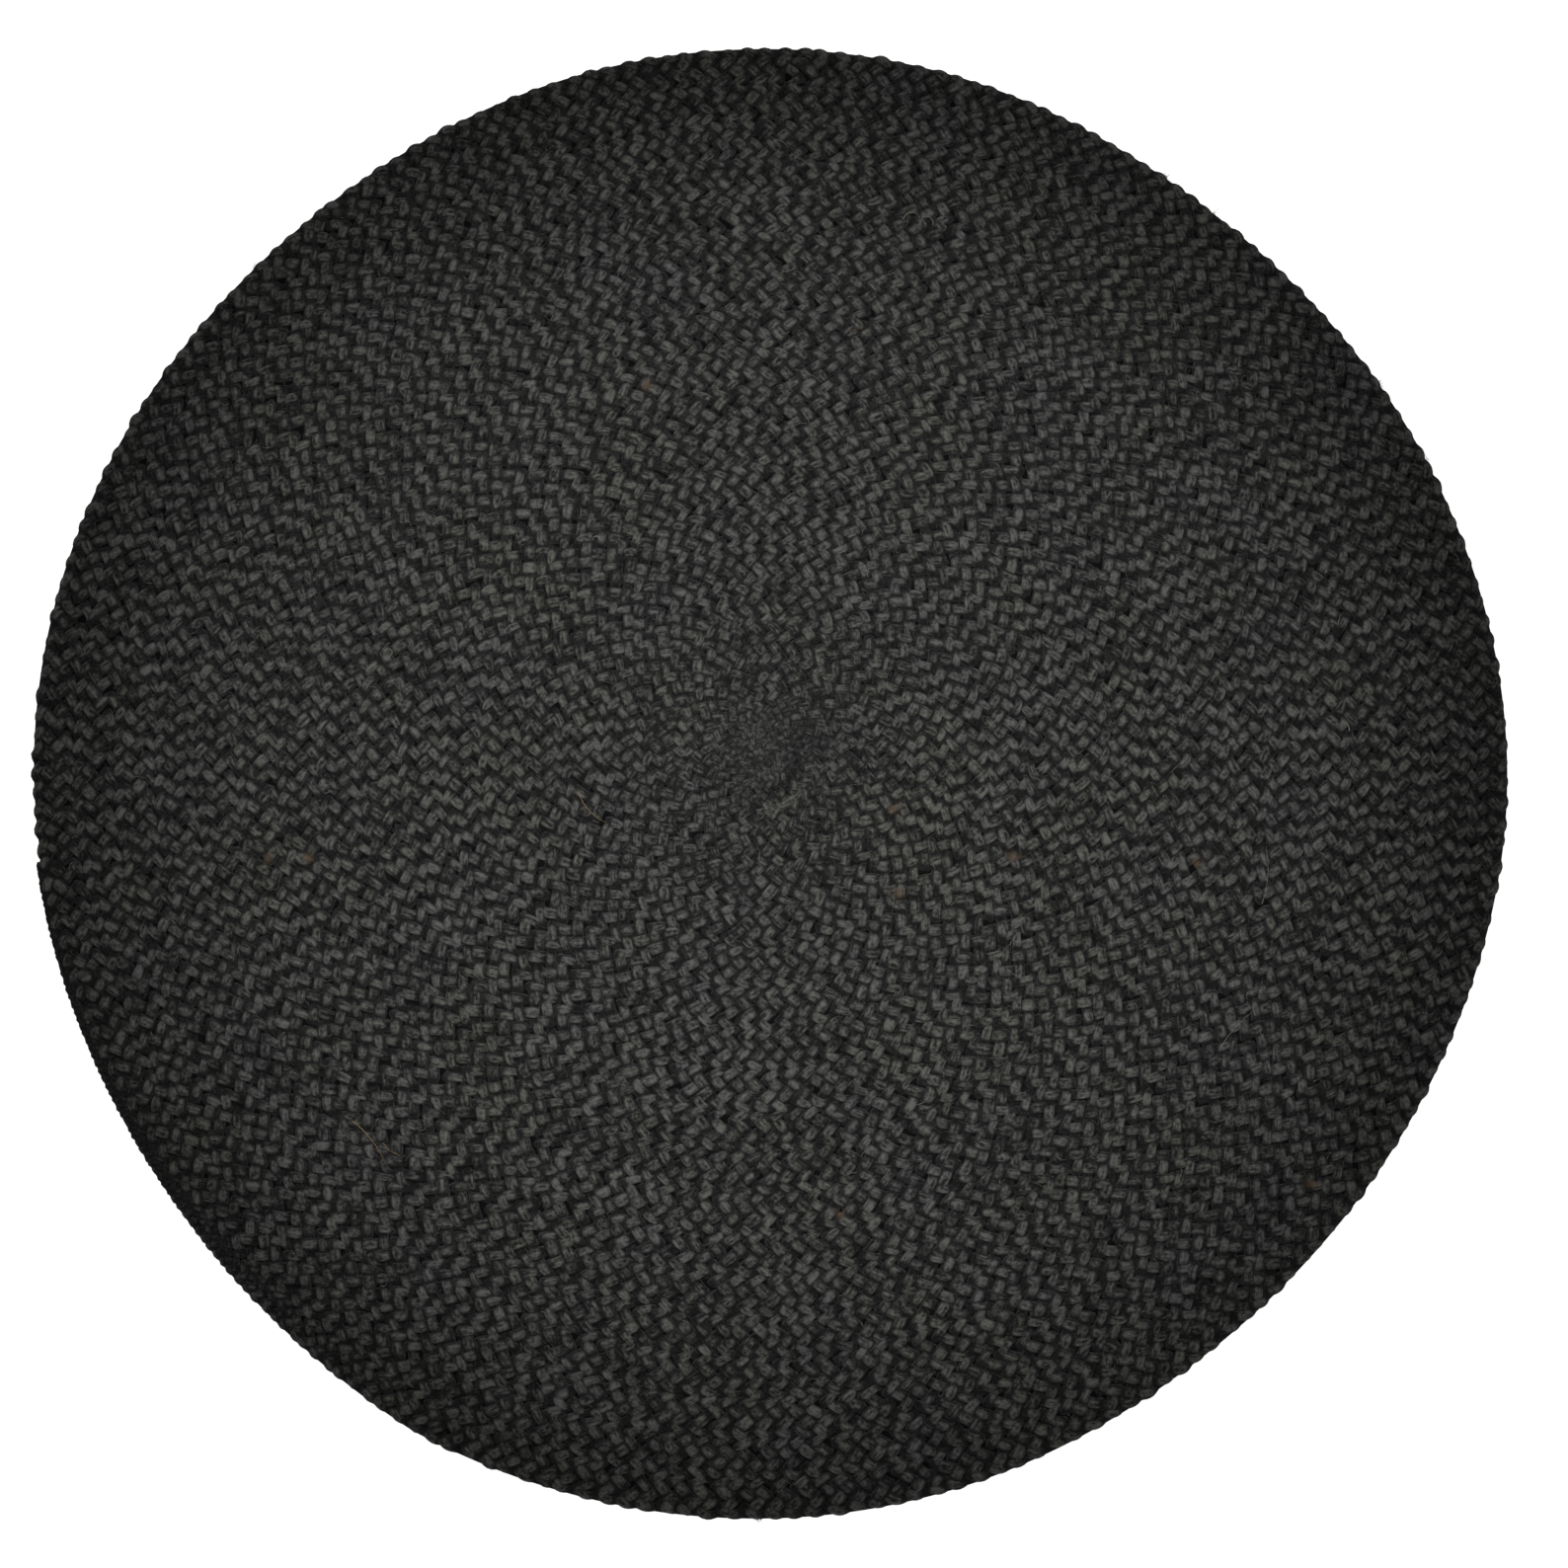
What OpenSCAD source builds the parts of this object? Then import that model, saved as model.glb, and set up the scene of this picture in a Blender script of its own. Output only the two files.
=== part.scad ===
// Round rug made of one flat five-strand plait, wound into a spiral and laced edge to edge.
// +Z is up. The origin is the middle of the rug's bounding box, on its underside.
// Seen from above, the plait starts at the centre and winds outwards clockwise.

/* [Plait] */
// Distance from one round of the plait to the next
pitch = 41; // [37:1:45]
// Thickness of the plait, which is two strands deep
plait_h = 12; // [11:0.5:16]
// Rounding of the plait's long corners
corner_r = 4; // [2.5:0.5:4.5]
// Open gap at the seam between two rounds
seam_gap = 0.8; // [0.6:0.2:1.2]

/* [Lacing] */
// Diameter of the twine that laces the rounds together
twine_d = 1.8; // [1.4:0.2:2.4]
// Clearance round the twine in the channel that it runs in
twine_fit = 0.3; // [0.2:0.1:0.4]

/* [Spiral] */
// Number of rounds, the last of which ends in the tail
rounds = 18; // [6:1:19]

/* [Tail] */
// Angle from the start of the last quarter to where the tail begins to narrow
tail_full_angle = 27; // [20:1:32]
// Angle from there to the blunt tip
tail_taper_angle = 54.4; // [48:0.4:56]
// Width that is left halfway along the taper
tail_mid_w = 17; // [14:1:20]
// Width of the blunt tip
tail_tip_w = 5; // [4:0.5:8]

/* [Hidden] */
$fn = 128;
// A round is four quarter arcs, and each quarter grows by a quarter of the pitch
QUARTERS = 4;
plait_w = pitch - seam_gap;
channel_r = twine_d / 2 + twine_fit;
// The four arc centres are the corners of a square, so every arc runs on smoothly from the last
centre_off = pitch / 8;
// The spiral's own centre, placed so that the origin is the middle of the bounding box
spiral_x = -pitch / 4;
spiral_y = pitch / 4;
last_quarter = rounds * QUARTERS - 1;
// Angle from the start of the last quarter to the blunt tip
tail_angle = tail_full_angle + tail_taper_angle;

function two_digits(n) = n < 10 ? str("0", n) : str(n);
function round_name(n) = str("round_", two_digits(n));
function lacing_name(n) = str("lacing_", two_digits(n));

// Quarters are counted outwards from the centre: 0 runs from -X to +Y, 1 from +Y to +X, and so on
function start_angle(quarter) = 180 - 90 * (quarter % QUARTERS);
function centre_x(quarter) = (quarter % QUARTERS < 2) ? centre_off : -centre_off;
function centre_y(quarter) = (quarter % QUARTERS == 0 || quarter % QUARTERS == 3) ? centre_off : -centre_off;
function middle_r(quarter) = (2 * quarter + 5) * centre_off;
function seam_r(quarter) = middle_r(quarter) - pitch / 2;

// Centre of the circle through three points
function circle_centre(a, b, c) =
    let (
        d = 2 * (a[0] * (b[1] - c[1]) + b[0] * (c[1] - a[1]) + c[0] * (a[1] - b[1])),
        a2 = a * a,
        b2 = b * b,
        c2 = c * c
    ) [
        (a2 * (b[1] - c[1]) + b2 * (c[1] - a[1]) + c2 * (a[1] - b[1])) / d,
        (a2 * (c[0] - b[0]) + b2 * (a[0] - c[0]) + c2 * (b[0] - a[0])) / d
    ];

// Sweeps a section along one quarter, or along its first part where the angle is given
module sweep_quarter(quarter, radius, angle = 90) {
    translate([spiral_x + centre_x(quarter), spiral_y + centre_y(quarter)])
        rotate([0, 0, start_angle(quarter)])
            rotate_extrude(angle = -angle)
                translate([radius, 0])
                    children();
}

// Flat bar with its four corners rounded, from x0 to x1 and from the floor to the plait's top
module rounded_bar(x0, x1) {
    translate([x0 + corner_r, 0])
        square([x1 - x0 - 2 * corner_r, plait_h]);
    translate([x0, corner_r])
        square([x1 - x0, plait_h - 2 * corner_r]);
    for (x = [x0 + corner_r, x1 - corner_r], y = [corner_r, plait_h - corner_r])
        translate([x, y])
            circle(r = corner_r);
}

// Bar from the axis to x1, rounded on its outer side only
module rounded_rim(x1) {
    square([x1 - corner_r, plait_h]);
    translate([0, corner_r])
        square([x1, plait_h - 2 * corner_r]);
    for (y = [corner_r, plait_h - corner_r])
        translate([x1 - corner_r, y])
            circle(r = corner_r);
}

// Groove at mid height for the lacing twine, cut where a seam lies at x
module twine_channel(x) {
    translate([x, plait_h / 2])
        circle(r = channel_r);
}

module plait_section(laced_inside, laced_outside) {
    difference() {
        rounded_bar(-plait_w / 2, plait_w / 2);
        if (laced_inside)
            twine_channel(-pitch / 2);
        if (laced_outside)
            twine_channel(pitch / 2);
    }
}

// The narrow start of the plait, rolled up to fill the middle of the first round
module centre_coil() {
    color([0.17, 0.17, 0.16])
        difference() {
            linear_extrude(plait_h)
                translate([spiral_x, spiral_y]) {
                    square(2 * centre_off, center = true);
                    for (quarter = [0:QUARTERS - 1])
                        translate([centre_x(quarter), centre_y(quarter)])
                            rotate(start_angle(quarter) - 90)
                                intersection() {
                                    circle(r = seam_r(quarter) - seam_gap / 2);
                                    square(seam_r(quarter));
                                }
                }
            for (quarter = [1:QUARTERS - 1])
                sweep_quarter(quarter, 0)
                    twine_channel(seam_r(quarter));
        }
}

module plait_round(n) {
    color([0.18, 0.18, 0.175])
        for (quarter = [(n - 1) * QUARTERS : min(n * QUARTERS, last_quarter) - 1])
            sweep_quarter(quarter, middle_r(quarter))
                plait_section(quarter > 0, quarter + QUARTERS <= last_quarter);
}

// The last quarter, cut down by an eccentric disc until only a blunt tip is left
module tail_end() {
    inner_r = middle_r(last_quarter) - plait_w / 2;
    from = start_angle(last_quarter);
    middle = [spiral_x + centre_x(last_quarter), spiral_y + centre_y(last_quarter)];
    function on_tail(angle, width) =
        middle + (inner_r + width) * [cos(from - angle), sin(from - angle)];
    shoulder = on_tail(tail_full_angle, plait_w);
    halfway = on_tail(tail_full_angle + tail_taper_angle / 2, tail_mid_w);
    tip = on_tail(tail_angle, tail_tip_w);
    disc_centre = circle_centre(shoulder, halfway, tip);
    color([0.16, 0.16, 0.155])
        intersection() {
            sweep_quarter(last_quarter, middle_r(last_quarter), tail_angle)
                plait_section(true, false);
            translate(disc_centre)
                rotate_extrude()
                    rounded_rim(norm(shoulder - disc_centre));
        }
}

// One turn of the twine, inside the round of the same number. The last one stops at the tail's tip
module lacing_round(n) {
    color([0.1, 0.1, 0.095])
        for (quarter = [max((n - 1) * QUARTERS, 1) : n * QUARTERS - 1])
            sweep_quarter(quarter, seam_r(quarter), quarter == last_quarter ? tail_angle : 90)
                translate([0, plait_h / 2])
                    circle(d = twine_d);
}

centre_coil();
tail_end();
for (n = [1:rounds]) {
    plait_round(n);
    lacing_round(n);
}
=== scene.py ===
"""Round area rug: one flat five-strand jute plait, wound clockwise into a spiral and laced edge to edge."""

import math

import bmesh
import bpy
import numpy as np
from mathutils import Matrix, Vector


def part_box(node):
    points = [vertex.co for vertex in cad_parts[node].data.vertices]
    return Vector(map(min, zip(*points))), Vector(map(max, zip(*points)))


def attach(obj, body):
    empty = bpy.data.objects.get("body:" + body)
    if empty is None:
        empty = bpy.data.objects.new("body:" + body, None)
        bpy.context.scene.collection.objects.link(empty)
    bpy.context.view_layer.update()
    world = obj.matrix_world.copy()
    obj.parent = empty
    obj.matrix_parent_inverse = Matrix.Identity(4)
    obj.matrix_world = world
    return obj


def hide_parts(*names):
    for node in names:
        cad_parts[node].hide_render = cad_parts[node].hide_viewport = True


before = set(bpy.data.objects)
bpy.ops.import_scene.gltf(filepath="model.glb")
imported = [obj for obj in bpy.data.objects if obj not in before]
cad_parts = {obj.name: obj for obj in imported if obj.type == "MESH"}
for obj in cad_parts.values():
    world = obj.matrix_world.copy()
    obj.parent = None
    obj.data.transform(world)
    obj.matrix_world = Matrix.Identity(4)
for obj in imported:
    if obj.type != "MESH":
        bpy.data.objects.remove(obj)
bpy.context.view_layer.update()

# ---- Measures taken from the CAD frame, in metres

ROUNDS = 18
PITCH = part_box("round_10")[1].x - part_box("round_09")[1].x
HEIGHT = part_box("round_10")[1].z
SPIRAL_CENTRE = np.array([-PITCH / 4, PITCH / 4])

# ---- Plait

STRANDS = "abcde"
# Along the plait, one strand goes from edge to edge and back in this length
REPEAT = 0.100
# Sideways path of a strand: REACH * asin(BEND * sin(phase)). It reaches into the next round at a seam
REACH = 0.0150
BEND = 0.95
# The outer edge of the last round turns more gently
RIM_REACH = 0.0166
RIM_BEND = 0.85
# How far a strand rises over and dips under the others, and how soft the wave is
LIFT = 0.0032
LIFT_SOFTNESS = 2.5
OVERS_PER_REPEAT = 4
HALF_WIDTH = 0.0059
HALF_WIDTH_AT_TURN = 0.0043
HALF_THICK = 0.0034
HALF_THICK_AT_TURN = 0.0040
# A strand takes its shape at the turn only close to the plait's edge: the power of its sine
TURN_SHARPNESS = 5
# The section is a little squarer than an ellipse: the power of its sine and cosine
SECTION_POWER = 0.82
# Strands flatten out over the last bit above the floor
FLOOR_SOFTNESS = 0.0006
# A strand is a twist of this many rovings, which show as soft ridges along it
ROVINGS = 4
RIDGE = 0.09
ROVING_TWIST = 0.060
RING_SIDES = 16
RING_TURN = -math.pi / 2 + 2 * math.pi * np.arange(RING_SIDES) / RING_SIDES
RING_STEP = 0.0025
LEAST_STATIONS = 60
# Distance round a strand, for its texture
GIRTH = 0.034
# Where the plait is narrow it is also thinner, down to this share
LEAST_DEPTH = 0.8
# Its strands narrow with its width, to this power
NARROWING_POWER = 0.9

# How uneven the hand work is: (how much, one random knot every so many metres)
UNEVEN_REPEAT = (0.05, 0.35)
UNEVEN_PHASE = (0.24, 0.045)
UNEVEN_SIDEWAYS = (0.0012, 0.018)
UNEVEN_LIFT = (0.0007, 0.014)
UNEVEN_WIDTH = (0.12, 0.015)
UNEVEN_THICKNESS = (0.08, 0.017)
UNEVEN_TWIST = (2, 0.03)
# The usual tone of a strand, and how it changes over short, middling and long stretches: higher is paler
MEAN_TONE = 0.5
TONE_SHORT = (0.32, 0.012)
TONE_MIDDLING = (0.14, 0.1)
TONE_LONG = (0.1, 0.7)

# A crease runs round the lower right side of the coil, at the seam with the first round
CREASE_DEPTH = 0.0050
CREASE_HALF_WIDTH = 0.0036
# Its middle and reach, as shares of a turn
CREASE_MIDDLE = 0.62
CREASE_REACH = 0.16
# The coil and the first rounds are handled more and lie darker
DARKER_TURNS = [-1, 1, 4]
DARKER_TONES = [-0.40, -0.26, 0]

# ---- Ends of the plait, as turns of the spiral

COIL_START = -1.85
# Inner radius of the plait at the start of each turn, in pitches, until it is one pitch wide
COIL_TURNS = [-1, 0, 1, 2, ROUNDS + 1]
COIL_RADII = [0, 0.55, 1.12, 2, ROUNDS + 1]
# The plaiting is tighter in the first rounds
TIGHT_TURNS = [-2, -1, 0, 1, 2, 3, 5, 8]
TIGHTNESS = [0.25, 0.30, 0.37, 0.64, 0.79, 0.86, 0.94, 1]
TAIL_FROM = 17.75
TAIL_FULL = 17.825
TAIL_TIP = 17.976
# Width of the tail half way and at its tip, as shares of the plait's 41 mm
TAIL_MID_WIDTH = 0.017 / 0.041
TAIL_TIP_WIDTH = 0.005 / 0.041
# The plait is never narrower than this share of the pitch
LEAST_WIDTH = 0.02
# The plaiting in the tail tightens with its width, down to this share
LEAST_TAIL_REPEAT = 0.4

# Strands get painted light, paler, where they stand this far from mid height, on both faces, and painted
# shade nearer the middle
PAINTED_LIGHT_HEIGHT = 0.0054
# How lit a point's painted light counts, up to this
MOST_PAINTED_LIGHT = 1.2
# The sides of a strand, down in the grooves, get painted shade and stay darker than its crown: by how much,
# and how sharply
SIDE_PAINTED_SHADE = 0.5
SIDE_SHARPNESS = 6
# It gets this much more painted light at its turns
PAINTED_LIGHT_AT_TURN = 0.1

# Places where the dye has not taken and the jute's brown shows, as (degrees from +X, rounds from the middle)
UNDYED_SPOTS = [
    (192, 12.5),
    (193, 11.5),
    (-38, 17.2),
    (-22, 3.6),
    (-45, 4.9),
    (-22, 6.8),
    (-14, 11.2),
    (-80, 11.5),
    (107, 9.8),
]
SPOT_SIZE = 0.004

# ---- How the handmade rug lies: not quite as round as the true spiral

# The whole rim is drawn in by this much
DRAWN_IN = 0.005
# It bulges to the left and right, and is flatter at the top and bottom
SIDE_BULGE = 0.005
# It is pulled in on the four diagonals
DIAGONAL_PULL = 0.005
# Small uneven waves along the rim
RIM_WAVE = 0.003
RIM_WAVES = 14
# Radius where these shifts of the rim count in full, and how far past it they go on growing
RIM_RADIUS = 0.755
PAST_RIM = 1.1
# Inner rounds are this much looser than the CAD pitch, and the outer ones tighter
LOOSENESS = 0.015
# The innermost rounds lie this far towards +X of the spiral's own centre
DRIFT = 0.006

rng = np.random.default_rng(41)


def place_on_rug(degrees, rounds):
    """Point in plan at an angle from +X and a number of rounds from the spiral's middle."""
    angle = math.radians(degrees)
    return SPIRAL_CENTRE + rounds * PITCH * np.array([math.cos(angle), math.sin(angle)])


def smooth_noise(x, amount, step):
    """Smooth random values from -amount to amount, one random knot every step along x."""
    knots = rng.uniform(-1, 1, int((x[-1] - x[0]) / step) + 3)
    place = (x - x[0]) / step
    low = np.floor(place).astype(int)
    part = place - low
    ease = part * part * (3 - 2 * part)
    return amount * (knots[low] * (1 - ease) + knots[low + 1] * ease)


# ---- The spiral


def inner_radius(turn):
    """Radius of the plait's inner edge."""
    return PITCH * np.interp(turn, COIL_TURNS, COIL_RADII)


def plait_width(turn):
    """Width of the plait: narrow where it starts, one pitch in the rounds, tapering at the tail."""
    stations = [TAIL_FULL, (TAIL_FULL + TAIL_TIP) / 2, TAIL_TIP]
    widths = [1, TAIL_MID_WIDTH, TAIL_TIP_WIDTH]
    curve = np.polyfit(stations, widths, 2)
    tail = np.where(turn > TAIL_FULL, np.polyval(curve, turn), 1)
    full = inner_radius(turn + 1) - inner_radius(turn)
    return np.maximum(full * tail, LEAST_WIDTH * PITCH)


def plait_radius(turn):
    """Radius of the plait's centre line."""
    return inner_radius(turn) + plait_width(turn) / 2


wave_heights = RIM_WAVE * rng.uniform(-1, 1, RIM_WAVES)


def rim_offset(angle):
    """How far the rim lies outside a true spiral, in metres."""
    place = np.mod(angle, 2 * math.pi) / (2 * math.pi) * RIM_WAVES
    low = np.floor(place).astype(int)
    ease = (1 - np.cos(math.pi * (place - low))) / 2
    wave = wave_heights[low % RIM_WAVES] * (1 - ease) + wave_heights[(low + 1) % RIM_WAVES] * ease
    return SIDE_BULGE * np.cos(2 * angle) + DIAGONAL_PULL * np.cos(4 * angle) + wave - DRAWN_IN


def on_rug(angle, radius):
    """Point in plan on the rug as it lies, from its place on the true spiral."""
    share = np.clip(radius / RIM_RADIUS, 0, PAST_RIM)
    lies_at = radius * (1 + LOOSENESS) + (rim_offset(angle) - LOOSENESS * RIM_RADIUS) * share**3
    plan = np.stack([lies_at * np.cos(angle), lies_at * np.sin(angle)], axis=-1) + SPIRAL_CENTRE
    plan[..., 0] += DRIFT * np.clip(1 - share**2, 0, 1)
    return plan


def on_spiral(turn, outward):
    """Point in plan, outward metres from the plait's centre line."""
    return on_rug(math.pi - 2 * math.pi * turn, plait_radius(turn) + outward)


def plait_stations():
    """Turns of the spiral at every station: closer where the plait is tight, one at each round's start."""
    stops = [COIL_START, *range(math.ceil(COIL_START), ROUNDS), TAIL_FROM, TAIL_TIP]
    turns = []
    for start, end in zip(stops[:-1], stops[1:]):
        length = 2 * math.pi * float(plait_radius((start + end) / 2)) * (end - start)
        step = RING_STEP * float(np.interp((start + end) / 2, TIGHT_TURNS, TIGHTNESS))
        count = max(LEAST_STATIONS, round(length / step))
        turns.append(np.linspace(start, end, count, endpoint=False))
    return np.concatenate([*turns, [TAIL_TIP]])


turns = plait_stations()
centre_line = on_spiral(turns, 0.0)
steps = np.linalg.norm(np.diff(centre_line, axis=0), axis=1)
along = np.concatenate([[0], np.cumsum(steps)])
# Width of the plait, in pitches
scale = plait_width(turns) / PITCH

# ---- Strands


def strand_phase():
    """Phase of the plaiting along the plait, quicker where the plait is narrow."""
    tail = np.where(turns > TAIL_FROM, np.clip(scale, LEAST_TAIL_REPEAT, 1), 1)
    tightness = np.interp(turns, TIGHT_TURNS, TIGHTNESS) * tail
    repeat = REPEAT * tightness * (1 + smooth_noise(along, *UNEVEN_REPEAT))
    rate = 2 * math.pi / repeat
    return np.concatenate([[0], np.cumsum((rate[1:] + rate[:-1]) / 2 * steps)])


phase = strand_phase()
# Height of the plait, as a share of the rug's
depth = LEAST_DEPTH + (1 - LEAST_DEPTH) * scale


def crease(outward):
    """How far a strand sinks into the crease beside the coil."""
    seam = inner_radius(np.where(turns < 0, turns + 1, turns))
    away = plait_radius(turns) + outward - seam
    reach = np.exp(-(((np.mod(turns, 1) - CREASE_MIDDLE) / CREASE_REACH) ** 2))
    sunk = CREASE_DEPTH * reach * np.exp(-((away / CREASE_HALF_WIDTH) ** 2))
    return np.where(np.abs(turns) < 1, sunk, 0)


def strand_path(number):
    """Centre line, half width, half thickness, tone and closeness to a turn of one strand, by station."""
    turn_phase = phase + 2 * math.pi * number / len(STRANDS) + smooth_noise(along, *UNEVEN_PHASE)
    sine = np.sin(turn_phase)
    edge = np.abs(sine) ** TURN_SHARPNESS
    wave = np.sin(OVERS_PER_REPEAT * turn_phase)
    wave = wave * np.sqrt((1 + LIFT_SOFTNESS) / (wave**2 + LIFT_SOFTNESS))
    on_rim = (turns > ROUNDS - 1) & (sine > 0)
    sideways = np.where(on_rim, RIM_REACH * np.arcsin(RIM_BEND * sine), REACH * np.arcsin(BEND * sine))
    outward = scale * (sideways + smooth_noise(along, *UNEVEN_SIDEWAYS))
    lift = depth * (LIFT * wave + smooth_noise(along, *UNEVEN_LIFT)) - crease(outward)
    half_width = HALF_WIDTH + (HALF_WIDTH_AT_TURN - HALF_WIDTH) * edge
    half_width = half_width * scale**NARROWING_POWER * (1 + smooth_noise(along, *UNEVEN_WIDTH))
    half_thick = HALF_THICK + (HALF_THICK_AT_TURN - HALF_THICK) * edge
    half_thick = half_thick * depth * (1 + smooth_noise(along, *UNEVEN_THICKNESS))
    tone = MEAN_TONE + smooth_noise(along, *TONE_SHORT)
    tone += smooth_noise(along, *TONE_MIDDLING) + smooth_noise(along, *TONE_LONG)
    tone += np.interp(turns, DARKER_TURNS, DARKER_TONES)
    plan = on_spiral(turns, outward)
    path = np.column_stack([plan, depth * HEIGHT / 2 + lift])
    return path, half_width, half_thick, tone, edge


def squarer(wave):
    """A sine or cosine bent so that an ellipse drawn with it has fuller shoulders."""
    return np.sign(wave) * np.abs(wave) ** SECTION_POWER


def path_frame(path):
    """Directions level across a path and upward, square to it, at each of its points."""
    tangent = np.gradient(path, axis=0)
    tangent /= np.linalg.norm(tangent, axis=1, keepdims=True)
    across = np.column_stack([tangent[:, 1], -tangent[:, 0], np.zeros(len(path))])
    across /= np.linalg.norm(across, axis=1, keepdims=True)
    upward = np.cross(across, tangent)
    return across, upward


def section_rings(path, half_width, half_thick, distance):
    """Rings of a flat ridged section along a path: width level and across it, thickness square to both."""
    across, upward = path_frame(path)
    twist = 2 * math.pi * distance / ROVING_TWIST + smooth_noise(distance, *UNEVEN_TWIST)
    ridges = 1 + RIDGE * np.cos(ROVINGS * RING_TURN[None, :] - twist[:, None])
    sideways = half_width[:, None] * squarer(np.cos(RING_TURN))[None, :] * ridges
    height = half_thick[:, None] * squarer(np.sin(RING_TURN))[None, :] * ridges
    rings = path[:, None, :] + across[:, None, :] * sideways[..., None]
    rings += upward[:, None, :] * height[..., None]
    low = rings[..., 2] < FLOOR_SOFTNESS
    rings[low, 2] = FLOOR_SOFTNESS * np.exp(rings[low, 2] / FLOOR_SOFTNESS - 1)
    return rings


def point_value(mesh, name, values):
    """Store a value on every point of a mesh, for its material."""
    layer = mesh.attributes.new(name, "FLOAT", "POINT")
    layer.data.foreach_set("value", values.astype(np.float32))


def tube_piece(name, rings, distance, girth, tone, material, painted_light_gain=1.0):
    """Closed tube through rings of points, with UVs along and around it. Its last argument scales how far
    its points count as lit, against the painted shade in its grooves.
    """
    count, sides, _ = rings.shape
    ring = np.arange(count - 1)[:, None] * sides
    side = np.arange(sides)[None, :]
    following = (side + 1) % sides
    quads = np.stack([ring + side, ring + following, ring + sides + following, ring + sides + side], axis=-1)
    quads = quads.reshape(-1, 4)
    first_cap = list(range(sides))[::-1]
    last_cap = list(range((count - 1) * sides, count * sides))
    mesh = bpy.data.meshes.new(name)
    mesh.from_pydata(rings.reshape(-1, 3), [], quads.tolist() + [first_cap, last_cap])
    smooth = np.ones(len(quads) + 2, bool)
    smooth[-2:] = False
    mesh.polygons.foreach_set("use_smooth", smooth)
    round_it = np.stack([side, side + 1, side + 1, side], axis=-1) / sides * girth
    down_it = np.stack([distance[:-1], distance[:-1], distance[1:], distance[1:]], axis=-1)
    corners = np.empty((count - 1, sides, 4, 2))
    corners[..., 0] = down_it[:, None, :]
    corners[..., 1] = round_it
    caps = np.zeros((2 * sides, 2))
    layer = mesh.uv_layers.new(name="along_and_around")
    layer.data.foreach_set("uv", np.concatenate([corners.reshape(-1, 2), caps]).ravel().astype(np.float32))
    point_value(mesh, "tone", np.repeat(tone, sides))
    # Painted light and shade: points far from the piece's mid height count as lit, points near it get
    # painted shade in the material
    middle = (rings[..., 2].max() + rings[..., 2].min()) / 2
    from_middle = (np.abs(rings[..., 2] - middle) * painted_light_gain).ravel() / PAINTED_LIGHT_HEIGHT
    point_value(mesh, "painted_light_mask", np.clip(from_middle, 0, MOST_PAINTED_LIGHT))
    spots = np.zeros(count * sides)
    for degrees, rounds in UNDYED_SPOTS:
        x, y = place_on_rug(degrees, rounds)
        away = np.hypot(rings[..., 0].ravel() - x, rings[..., 1].ravel() - y)
        spots += np.exp(-((away / SPOT_SIZE) ** 2))
    point_value(mesh, "undyed", np.clip(spots, 0, 1))
    mesh.materials.append(material)
    piece = bpy.data.objects.new(name, mesh)
    bpy.context.collection.objects.link(piece)
    return piece


# ---- Materials

# Streaks along a strand: scale of the noise along, around and through it, and its slant
STREAK_SCALE = (95, 330, 1)
STREAK_SLANT = 0.25
STREAK_DETAIL = 5
STREAK_ROUGHNESS = 0.7
STREAK_WEIGHT = 5.2
GRAIN_SCALE = 260
GRAIN_DETAIL = 3
GRAIN_WEIGHT = 3.2
# The weighted sum of tone, streaks and grain at the dark and at the pale colour
DARK_SUM = 3.95
PALE_SUM = 5.55
# Slow patches of dye, from cooler to warmer, and the noise values between which they change
PATCH_SCALE = 9
PATCH_DETAIL = 3
COOL_DYE = (0.96, 0.99, 1.0, 1)
WARM_DYE = (1.0, 0.985, 0.93, 1)
COOL_BELOW = 0.35
WARM_ABOVE = 0.65
# Crown values where the painted light begins and is complete, and the brightness that the painted shade
# leaves down in the grooves
PAINTED_LIGHT_FROM = 0.56
PAINTED_LIGHT_FULL = 0.98
GROOVE_SHADE_BRIGHTNESS = 0.06
UNDYED_COLOUR = (0.13, 0.082, 0.047, 1)
SPECULAR = 0.2
SHEEN = 0.15
SHEEN_ROUGHNESS = 0.5


def link(tree, source, target):
    tree.links.new(source, target)


def noise(tree, vector, scale, detail, roughness=0.5):
    """Noise at a vector."""
    node = tree.nodes.new("ShaderNodeTexNoise")
    node.inputs["Scale"].default_value = scale
    node.inputs["Detail"].default_value = detail
    node.inputs["Roughness"].default_value = roughness
    link(tree, vector, node.inputs["Vector"])
    return node.outputs["Fac"]


def stored_value(tree, name):
    """A value that the mesh holds on its points."""
    node = tree.nodes.new("ShaderNodeAttribute")
    node.attribute_name = name
    return node.outputs["Fac"]


def weighted_sum(tree, value, weight, added):
    """value * weight + added."""
    node = tree.nodes.new("ShaderNodeMath")
    node.operation = "MULTIPLY_ADD"
    node.inputs[1].default_value = weight
    link(tree, value, node.inputs[0])
    link(tree, added, node.inputs[2])
    return node.outputs["Value"]


def multiplied(tree, colour, shade):
    """One colour darkened by another."""
    node = tree.nodes.new("ShaderNodeMix")
    node.data_type = "RGBA"
    node.blend_type = "MULTIPLY"
    node.inputs["Factor"].default_value = 1
    link(tree, colour, node.inputs["A"])
    link(tree, shade, node.inputs["B"])
    return node.outputs["Result"]


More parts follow.
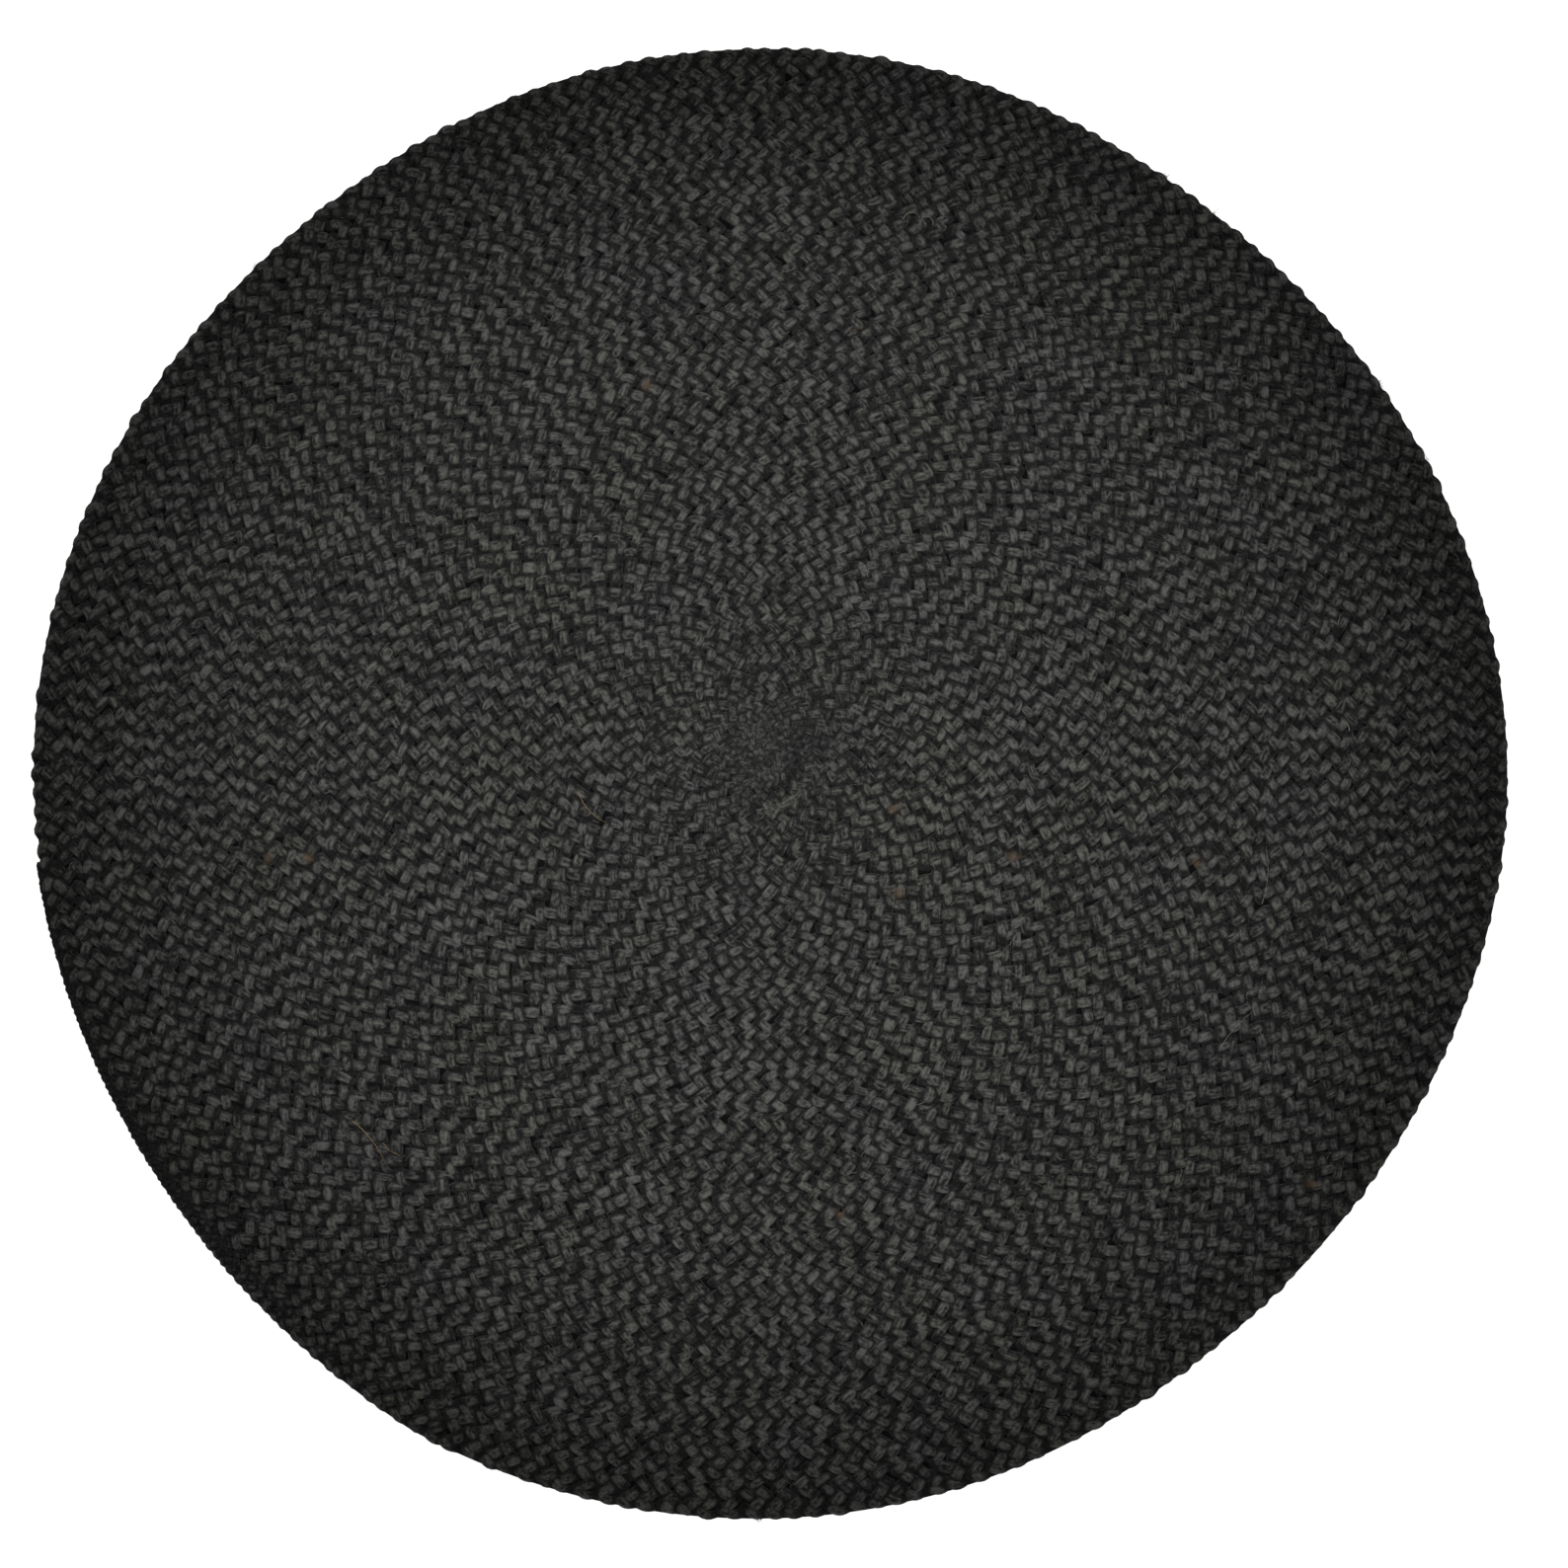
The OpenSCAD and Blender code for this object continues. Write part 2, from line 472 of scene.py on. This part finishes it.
def fibre_material(name, dark, pale, roughness, bump_height):
    """Dyed plant fibre: streaked along the strand, unevenly dyed, with painted shade in its grooves, matt
    with a little sheen.
    """
    material = bpy.data.materials.new(name)
    material.use_nodes = True
    tree = material.node_tree
    shader = tree.nodes["Principled BSDF"]
    shader.inputs["Roughness"].default_value = roughness
    shader.inputs["Specular IOR Level"].default_value = SPECULAR
    shader.inputs["Sheen Weight"].default_value = SHEEN
    shader.inputs["Sheen Roughness"].default_value = SHEEN_ROUGHNESS

    uv = tree.nodes.new("ShaderNodeUVMap")
    uv.uv_map = "along_and_around"
    stretch = tree.nodes.new("ShaderNodeMapping")
    stretch.inputs["Scale"].default_value = STREAK_SCALE
    stretch.inputs["Rotation"].default_value = (0, 0, STREAK_SLANT)
    link(tree, uv.outputs["UV"], stretch.inputs["Vector"])
    streaks = noise(tree, stretch.outputs["Vector"], 1, STREAK_DETAIL, STREAK_ROUGHNESS)

    place = tree.nodes.new("ShaderNodeTexCoord").outputs["Object"]
    grain = noise(tree, place, GRAIN_SCALE, GRAIN_DETAIL)
    streaked = weighted_sum(tree, streaks, STREAK_WEIGHT, stored_value(tree, "tone"))
    grained = weighted_sum(tree, grain, GRAIN_WEIGHT, streaked)
    ramp = tree.nodes.new("ShaderNodeMapRange")
    ramp.inputs["From Min"].default_value = DARK_SUM
    ramp.inputs["From Max"].default_value = PALE_SUM
    link(tree, grained, ramp.inputs["Value"])
    colour = tree.nodes.new("ShaderNodeMix")
    colour.data_type = "RGBA"
    colour.inputs["A"].default_value = (*dark, 1)
    colour.inputs["B"].default_value = (*pale, 1)
    link(tree, ramp.outputs["Result"], colour.inputs["Factor"])

    dye = tree.nodes.new("ShaderNodeValToRGB")
    dye.color_ramp.elements[0].position = COOL_BELOW
    dye.color_ramp.elements[0].color = COOL_DYE
    dye.color_ramp.elements[1].position = WARM_ABOVE
    dye.color_ramp.elements[1].color = WARM_DYE
    link(tree, noise(tree, place, PATCH_SCALE, PATCH_DETAIL), dye.inputs["Fac"])
    dyed = multiplied(tree, colour.outputs["Result"], dye.outputs["Color"])

    # Painted shade: darkens the colour where a point lies low on a strand or on its sides, and leaves
    # painted light on its crown
    painted_shade = tree.nodes.new("ShaderNodeMapRange")
    painted_shade.interpolation_type = "SMOOTHSTEP"
    painted_shade.inputs["From Min"].default_value = PAINTED_LIGHT_FROM
    painted_shade.inputs["From Max"].default_value = PAINTED_LIGHT_FULL
    painted_shade.inputs["To Min"].default_value = GROOVE_SHADE_BRIGHTNESS
    link(tree, stored_value(tree, "painted_light_mask"), painted_shade.inputs["Value"])
    shaded = multiplied(tree, dyed, painted_shade.outputs["Result"])
    spotted = tree.nodes.new("ShaderNodeMix")
    spotted.data_type = "RGBA"
    spotted.inputs["B"].default_value = UNDYED_COLOUR
    link(tree, stored_value(tree, "undyed"), spotted.inputs["Factor"])
    link(tree, shaded, spotted.inputs["A"])
    link(tree, spotted.outputs["Result"], shader.inputs["Base Color"])

    relief = tree.nodes.new("ShaderNodeMath")
    relief.operation = "ADD"
    link(tree, streaks, relief.inputs[0])
    link(tree, grain, relief.inputs[1])
    bump = tree.nodes.new("ShaderNodeBump")
    bump.inputs["Strength"].default_value = 1.0
    bump.inputs["Distance"].default_value = bump_height
    link(tree, relief.outputs["Value"], bump.inputs["Height"])
    link(tree, bump.outputs["Normal"], shader.inputs["Normal"])
    return material


def plain_material(name, colour, roughness, glow):
    """One even colour, glowing white by its own light where glow is above 0."""
    material = bpy.data.materials.new(name)
    material.use_nodes = True
    shader = material.node_tree.nodes["Principled BSDF"]
    shader.inputs["Base Color"].default_value = (*colour, 1)
    shader.inputs["Roughness"].default_value = roughness
    shader.inputs["Emission Color"].default_value = (1, 1, 1, 1)
    shader.inputs["Emission Strength"].default_value = glow
    return material


# ---- Stage: a white floor that glows, a white backdrop, one soft overhead light and the camera

CAMERA_TILT = math.radians(4.5)
CAMERA_DISTANCE = 2.2
SENSOR_WIDTH = 36
VIEW_WIDTH = 1.61
AIM = Vector((0.015, -0.0195, 0.0))
LIGHT_HEIGHT = 1.6
LIGHT_RADIUS = 0.12
LIGHT_CONE = math.radians(60.5)
LIGHT_SOFT_EDGE = 0.7
LIGHT_POWER = 83.0
WORLD_STRENGTH = 0.05
STAGE_WHITE = (0.9, 0.9, 0.9)
FLOOR_HALF = 6.0
FLOOR_DROP = 0.0005

scene = bpy.context.scene
scene.view_settings.view_transform = "Standard"

camera_data = bpy.data.cameras.new("camera")
camera_data.sensor_width = SENSOR_WIDTH
camera_data.lens = SENSOR_WIDTH * CAMERA_DISTANCE / VIEW_WIDTH
camera = bpy.data.objects.new("camera", camera_data)
camera.location = AIM + CAMERA_DISTANCE * Vector((0, -math.sin(CAMERA_TILT), math.cos(CAMERA_TILT)))
camera.rotation_euler = (CAMERA_TILT, 0, 0)
scene.collection.objects.link(camera)
scene.camera = camera

light_data = bpy.data.lights.new("soft_light", "SPOT")
light_data.shadow_soft_size = LIGHT_RADIUS
light_data.spot_size = LIGHT_CONE
light_data.spot_blend = LIGHT_SOFT_EDGE
light_data.energy = LIGHT_POWER
light = bpy.data.objects.new("soft_light", light_data)
light.location = (0, 0, LIGHT_HEIGHT)
scene.collection.objects.link(light)

world = bpy.data.worlds.new("world")
world.use_nodes = True
world.node_tree.nodes["Background"].inputs["Color"].default_value = (1, 1, 1, 1)
world.node_tree.nodes["Background"].inputs["Strength"].default_value = WORLD_STRENGTH
scene.world = world

corners = [(x * FLOOR_HALF, y * FLOOR_HALF, 0) for x, y in ((-1, -1), (1, -1), (1, 1), (-1, 1))]
floor_mesh = bpy.data.meshes.new("floor")
floor_mesh.from_pydata(corners, [], [(0, 1, 2, 3)])
floor_mesh.materials.append(plain_material("floor_white", STAGE_WHITE, roughness=0.9, glow=1.0))
floor = bpy.data.objects.new("floor", floor_mesh)
floor.location.z = -FLOOR_DROP
scene.collection.objects.link(floor)

# The backdrop is a white dome that only the camera sees, so that it adds no light of its own
dome_mesh = bpy.data.meshes.new("backdrop")
dome_shape = bmesh.new()
bmesh.ops.create_uvsphere(dome_shape, u_segments=48, v_segments=24, radius=FLOOR_HALF)
dome_shape.to_mesh(dome_mesh)
dome_shape.free()
dome_mesh.materials.append(plain_material("backdrop_white", STAGE_WHITE, roughness=0.9, glow=1.0))
dome = bpy.data.objects.new("backdrop", dome_mesh)
dome.visible_diffuse = False
dome.visible_glossy = False
dome.visible_transmission = False
dome.visible_shadow = False
scene.collection.objects.link(dome)

# ---- The strands of every round

plait_fibre = fibre_material(
    "plait_fibre", dark=(0.012, 0.012, 0.0109), pale=(0.162, 0.162, 0.152), roughness=0.85, bump_height=0.003
)
twine_fibre = fibre_material(
    "twine_fibre", dark=(0.008, 0.008, 0.0075), pale=(0.03, 0.03, 0.028), roughness=0.85, bump_height=0.0004
)
# Near-black painted shade for the band that fills the pin holes between the strands
pinhole_shade = fibre_material(
    "pinhole_shade", dark=(0.003, 0.003, 0.003), pale=(0.01, 0.01, 0.0095), roughness=0.95, bump_height=0.0004
)


def round_spans():
    """(CAD node, first turn, last turn) of every stretch of the plait."""
    spans = [("centre_coil", COIL_START, 0)]
    for number in range(1, ROUNDS):
        spans.append((f"round_{number:02d}", number - 1, number))
    spans.append((f"round_{ROUNDS:02d}", ROUNDS - 1, TAIL_FROM))
    spans.append(("tail_end", TAIL_FROM, TAIL_TIP))
    return spans


# Painted shade on the sides of every strand, and a little more painted light at its turns
ring_painted_light = 1 - SIDE_PAINTED_SHADE * np.abs(np.cos(RING_TURN)) ** SIDE_SHARPNESS
for number, letter in enumerate(STRANDS):
    path, half_width, half_thick, tone, edge = strand_path(number)
    rings = section_rings(path, half_width, half_thick, along)
    painted_light_gain = ring_painted_light[None, :] * (1 + PAINTED_LIGHT_AT_TURN * edge[:, None])
    for node, start, end in round_spans():
        first = int(np.argmin(np.abs(turns - start)))
        last = int(np.argmin(np.abs(turns - end)))
        cut = slice(first, last + 1)
        name = f"{node}_strand_{letter}"
        piece = tube_piece(name, rings[cut], along[cut], GIRTH, tone[cut], plait_fibre, painted_light_gain[cut])
        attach(piece, "root")
        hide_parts(node)

# ---- The strand that crosses over where the coil ends and the first round begins

# Where it lies, as (degrees from +X, radius, height)
CROSSING_STATIONS = [
    (-115, 0.058, 0.0060),
    (-95, 0.058, 0.0102),
    (-70, 0.055, 0.0112),
    (-45, 0.051, 0.0105),
    (-28, 0.049, 0.0060),
]
CROSSING_RINGS = 60
CROSSING_HALF_WIDTH = 0.0042
CROSSING_HALF_THICK = 0.0016
CROSSING_TONE = 0.45
# Its painted light is scaled up this much, so it takes almost no painted shade
CROSSING_PAINTED_LIGHT = 3.0
# It thins towards both ends, down to this share
CROSSING_END = 0.3


def crossing_strand():
    """Flat strand that lies along the coil's lower right side."""
    degrees, radii, heights = zip(*CROSSING_STATIONS)
    share = np.linspace(0, 1, CROSSING_RINGS)
    at = np.linspace(0, 1, len(CROSSING_STATIONS))
    angle = np.radians(np.interp(share, at, degrees))
    radius = np.interp(share, at, radii)
    path = np.column_stack([on_rug(angle, radius), np.interp(share, at, heights)])
    length = np.cumsum(np.linalg.norm(np.diff(path, axis=0, prepend=path[:1]), axis=1))
    taper = np.clip(4 * share * (1 - share), CROSSING_END, 1)
    rings = section_rings(path, CROSSING_HALF_WIDTH * taper, CROSSING_HALF_THICK * taper, length)
    tone = np.full(len(share), CROSSING_TONE)
    piece = tube_piece("crossing_strand", rings, length, GIRTH, tone, plait_fibre, CROSSING_PAINTED_LIGHT)
    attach(piece, "root")


crossing_strand()

# ---- Painted shade: a thin near-black band inside each round, which closes the pin holes between the strands

SHADE_BAND_STEP = 0.008
SHADE_BAND_LEAST_STATIONS = 48
SHADE_BAND_HALF_THICK = 0.0004
SHADE_BAND_TONE = 0.3


def shade_band_piece(node, start, end):
    """Thin band of painted shade at mid height, from seam to seam."""
    length = 2 * math.pi * float(plait_radius((start + end) / 2)) * (end - start)
    turn = np.linspace(start, end, max(SHADE_BAND_LEAST_STATIONS, round(length / SHADE_BAND_STEP)))
    half = plait_width(turn) / 2
    inner = on_spiral(turn, -half)
    outer = on_spiral(turn, half)
    corners = []
    for plan, level in ((inner, -1), (outer, -1), (outer, 1), (inner, 1)):
        height = np.full(len(turn), HEIGHT / 2 + level * SHADE_BAND_HALF_THICK)
        corners.append(np.column_stack([plan, height]))
    rings = np.stack(corners, axis=1)
    tone = np.full(len(turn), SHADE_BAND_TONE)
    piece = tube_piece(f"{node}_pinhole_shade_band", rings, turn, 1.0, tone, pinhole_shade)
    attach(piece, "root")
    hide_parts(node)


for node, start, end in round_spans():
    shade_band_piece(node, start, end)

# ---- Lacing twine in the seams

TWINE_RADIUS = 0.0009
# How far it swings to each side of the seam, and up and down
TWINE_SWING = 0.0035
TWINE_RISE = 0.0015
TWINE_SIDES = 6
TWINE_STEP = 0.0025
TWINE_LEAST_STATIONS = 24
# It begins a quarter of a turn after the first round does
TWINE_START = 0.25
UNEVEN_TWINE_TONE = (0.2, 0.02)


def lacing_piece(number):
    """One turn of the twine, swinging from plait to plait through the seam inside a round."""
    start = max(number - 1, TWINE_START)
    end = min(number, TAIL_TIP)
    middle = (start + end) / 2
    length = 2 * math.pi * PITCH * middle * (end - start)
    turn = np.linspace(start, end, max(TWINE_LEAST_STATIONS, round(length / TWINE_STEP)))
    swing = 2 * math.pi * (turn - start) / (end - start) * round(length / (REPEAT / len(STRANDS)))
    angle = math.pi - 2 * math.pi * turn
    plan = on_rug(angle, inner_radius(turn) + TWINE_SWING * np.sin(swing))
    path = np.column_stack([plan, HEIGHT / 2 + TWINE_RISE * np.cos(swing)])
    across, upward = path_frame(path)
    circle = 2 * math.pi * np.arange(TWINE_SIDES) / TWINE_SIDES
    rings = (
        path[:, None, :]
        + TWINE_RADIUS * across[:, None, :] * np.cos(circle)[None, :, None]
        + TWINE_RADIUS * upward[:, None, :] * np.sin(circle)[None, :, None]
    )
    distance = np.linspace(0, length, len(turn))
    tone = MEAN_TONE + smooth_noise(distance, *UNEVEN_TWINE_TONE)
    name = f"lacing_{number:02d}"
    piece = tube_piece(f"{name}_twine", rings, distance, 2 * math.pi * TWINE_RADIUS, tone, twine_fibre)
    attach(piece, "root")
    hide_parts(name)


for number in range(1, ROUNDS + 1):
    lacing_piece(number)

# ---- Loose fibres: short fuzz all over, a few long ones, and tufts at the rim

FUZZ_PER_PIECE = 700
FUZZ_PIECES = 8
FUZZ_LENGTH = (0.004, 0.012)
FUZZ_CURL = 2.5
FUZZ_RADIUS = (0.00012, 0.00022)
FUZZ_RISE = 0.0008
# Fuzz starts this far below the rug's height
FUZZ_SINK = 0.0006
# It ends at this turn, leaves out this share of the area in the middle,
# and lies up to this many pitches to each side of the plait's centre line
FUZZ_LAST_TURN = ROUNDS - 0.3
FUZZ_LEAST_AREA = 0.002
FUZZ_SPREAD = 0.45

FIBRE_SIDES = 3
FIBRE_POINTS = 6
# Fibres from this length on have more points
LONG_FIBRE = 0.02
LONG_FIBRE_POINTS = 24
# A fibre loses this share of its thickness towards its end
FIBRE_TAPER = 0.6


def fibre_rings(start, heading, length, curl, radius, rise):
    """Rings of one thin curved fibre that lies on the rug."""
    share = np.linspace(0, 1, FIBRE_POINTS if length < LONG_FIBRE else LONG_FIBRE_POINTS)
    bearing = heading + curl * share
    step = length / (len(share) - 1)
    x = start[0] + np.cumsum(np.cos(bearing)) * step
    y = start[1] + np.cumsum(np.sin(bearing)) * step
    z = start[2] + rise * np.sin(math.pi * share)
    path = np.column_stack([x, y, z])
    side = np.column_stack([-np.sin(bearing), np.cos(bearing), np.zeros(len(share))])
    thickness = radius * (1 - FIBRE_TAPER * share)
    corner = 2 * math.pi * np.arange(FIBRE_SIDES) / FIBRE_SIDES
    sideways = thickness[:, None] * np.cos(corner)[None, :]
    rings = path[:, None, :] + side[:, None, :] * sideways[..., None]
    rings[..., 2] += thickness[:, None] * np.sin(corner)[None, :]
    return rings


def fibre_piece(name, all_rings, material):
    """One mesh of many closed fibres."""
    points = []
    faces = []
    offset = 0
    for rings in all_rings:
        count, sides, _ = rings.shape
        end = offset + count * sides
        for ring in range(offset, end - sides, sides):
            for side in range(sides):
                following = (side + 1) % sides
                above = ring + sides
                faces.append((ring + side, ring + following, above + following, above + side))
        faces.append(tuple(range(offset + sides - 1, offset - 1, -1)))
        faces.append(tuple(range(end - sides, end)))
        points.append(rings.reshape(-1, 3))
        offset = end
    mesh = bpy.data.meshes.new(name)
    mesh.from_pydata(np.concatenate(points), [], faces)
    mesh.materials.append(material)
    piece = bpy.data.objects.new(name, mesh)
    bpy.context.collection.objects.link(piece)
    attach(piece, "root")


def surface_place():
    """A random place on top of the rug, evenly spread over its area."""
    turn = FUZZ_LAST_TURN * math.sqrt(rng.uniform(FUZZ_LEAST_AREA, 1))
    outward = rng.uniform(-FUZZ_SPREAD, FUZZ_SPREAD) * PITCH
    x, y = on_spiral(np.array([turn]), outward)[0]
    return x, y, HEIGHT - FUZZ_SINK


dark_fuzz = plain_material("fuzz_grey", (0.10, 0.10, 0.093), roughness=0.8, glow=0)
pale_fuzz = plain_material("fuzz_pale", (0.34, 0.33, 0.29), roughness=0.8, glow=0)
tuft_fibre = plain_material("tuft_dark", (0.02, 0.02, 0.019), roughness=0.8, glow=0)
golden_fibre = plain_material("fibre_golden", (0.42, 0.30, 0.12), roughness=0.7, glow=0)
brown_fibre = plain_material("fibre_brown", (0.16, 0.09, 0.05), roughness=0.8, glow=0)

for number in range(FUZZ_PIECES):
    hairs = []
    for _ in range(FUZZ_PER_PIECE):
        length = rng.uniform(*FUZZ_LENGTH)
        curl = rng.uniform(-FUZZ_CURL, FUZZ_CURL)
        heading = rng.uniform(0, 2 * math.pi)
        radius = rng.uniform(*FUZZ_RADIUS)
        hairs.append(fibre_rings(surface_place(), heading, length, curl, radius, FUZZ_RISE))
    fibre_piece(f"fuzz_{number + 1:02d}", hairs, pale_fuzz if number == 0 else dark_fuzz)

# Long loose fibres that catch the eye: (degrees from +X, rounds, heading in degrees, length, curl, radius)
GOLDEN_FIBRES = [
    (191, 4.6, -75, 0.045, 0.9, 0.0003),
    (222, 13.5, -35, 0.050, -0.5, 0.0003),
    (226, 13.3, -60, 0.022, 0.8, 0.0002),
]
PALE_FIBRES = [
    (75, 14.1, 80, 0.030, -3.4, 0.0004),
    (72, 14.1, 60, 0.018, 2.5, 0.0003),
    (127, 6.7, 70, 0.012, 3.5, 0.0005),
    (165, 9.7, 85, 0.016, -4.0, 0.0004),
    (85, 9.8, -10, 0.040, -0.7, 0.0002),
    (2, 14.7, 75, 0.014, 1.6, 0.0004),
    (93, 16.3, -20, 0.018, 1.2, 0.0004),
    (89, 15.7, 10, 0.018, -1.2, 0.0004),
    (-17, 13.0, 70, 0.060, 0.5, 0.0002),
    (-33, 13.5, 60, 0.050, -0.4, 0.0002),
    (-41, 8.1, -50, 0.020, 0.7, 0.0002),
    (120, 13.9, 65, 0.030, -0.6, 0.0002),
]
BROWN_FIBRES = [
    (78, 10.9, 60, 0.020, -2.0, 0.0004),
    (-54, 18.0, -40, 0.026, 1.8, 0.0003),
    (77, 11.3, -80, 0.016, 1.5, 0.0003),
]
# They start this far above the rug's height and arch up by this much more
LONG_FIBRE_RISE = 0.0022
LONG_FIBRE_ARCH = 0.0012
for name, fibres, material in (
    ("golden_fibres", GOLDEN_FIBRES, golden_fibre),
    ("pale_fibres", PALE_FIBRES, pale_fuzz),
    ("brown_fibres", BROWN_FIBRES, brown_fibre),
):
    hairs = []
    for degrees, rounds, heading, length, curl, radius in fibres:
        x, y = place_on_rug(degrees, rounds)
        place = (x, y, HEIGHT + LONG_FIBRE_RISE)
        hairs.append(fibre_rings(place, math.radians(heading), length, curl, radius, LONG_FIBRE_ARCH))
    fibre_piece(name, hairs, material)

# Tufts that stick out at the rim, as degrees from +X
TUFTS = [24, 31, 50, 55, 136, 190, 235, 248, 270]
TUFT_HAIRS = 9
TUFT_INSET = 0.003
TUFT_SPREAD = 0.003
TUFT_HEIGHTS = (0.004, 0.010)
TUFT_FAN = 0.9
TUFT_LENGTH = (0.004, 0.009)
TUFT_CURL = 2
TUFT_RADIUS = 0.0003
hairs = []
for degrees in TUFTS:
    angle = math.radians(degrees)
    turn = (180 - degrees) / 360 % 1 + ROUNDS - 1
    if turn > TAIL_FROM:
        turn -= 1
    edge = plait_radius(turn) + plait_width(turn) / 2 - TUFT_INSET
    x, y = on_rug(np.array([angle]), np.array([edge]))[0]
    for _ in range(TUFT_HAIRS):
        start_x = x + rng.uniform(-TUFT_SPREAD, TUFT_SPREAD)
        start_y = y + rng.uniform(-TUFT_SPREAD, TUFT_SPREAD)
        place = (start_x, start_y, rng.uniform(*TUFT_HEIGHTS))
        heading = angle + rng.uniform(-TUFT_FAN, TUFT_FAN)
        length = rng.uniform(*TUFT_LENGTH)
        curl = rng.uniform(-TUFT_CURL, TUFT_CURL)
        hairs.append(fibre_rings(place, heading, length, curl, TUFT_RADIUS, 0))
fibre_piece("rim_tufts", hairs, tuft_fibre)
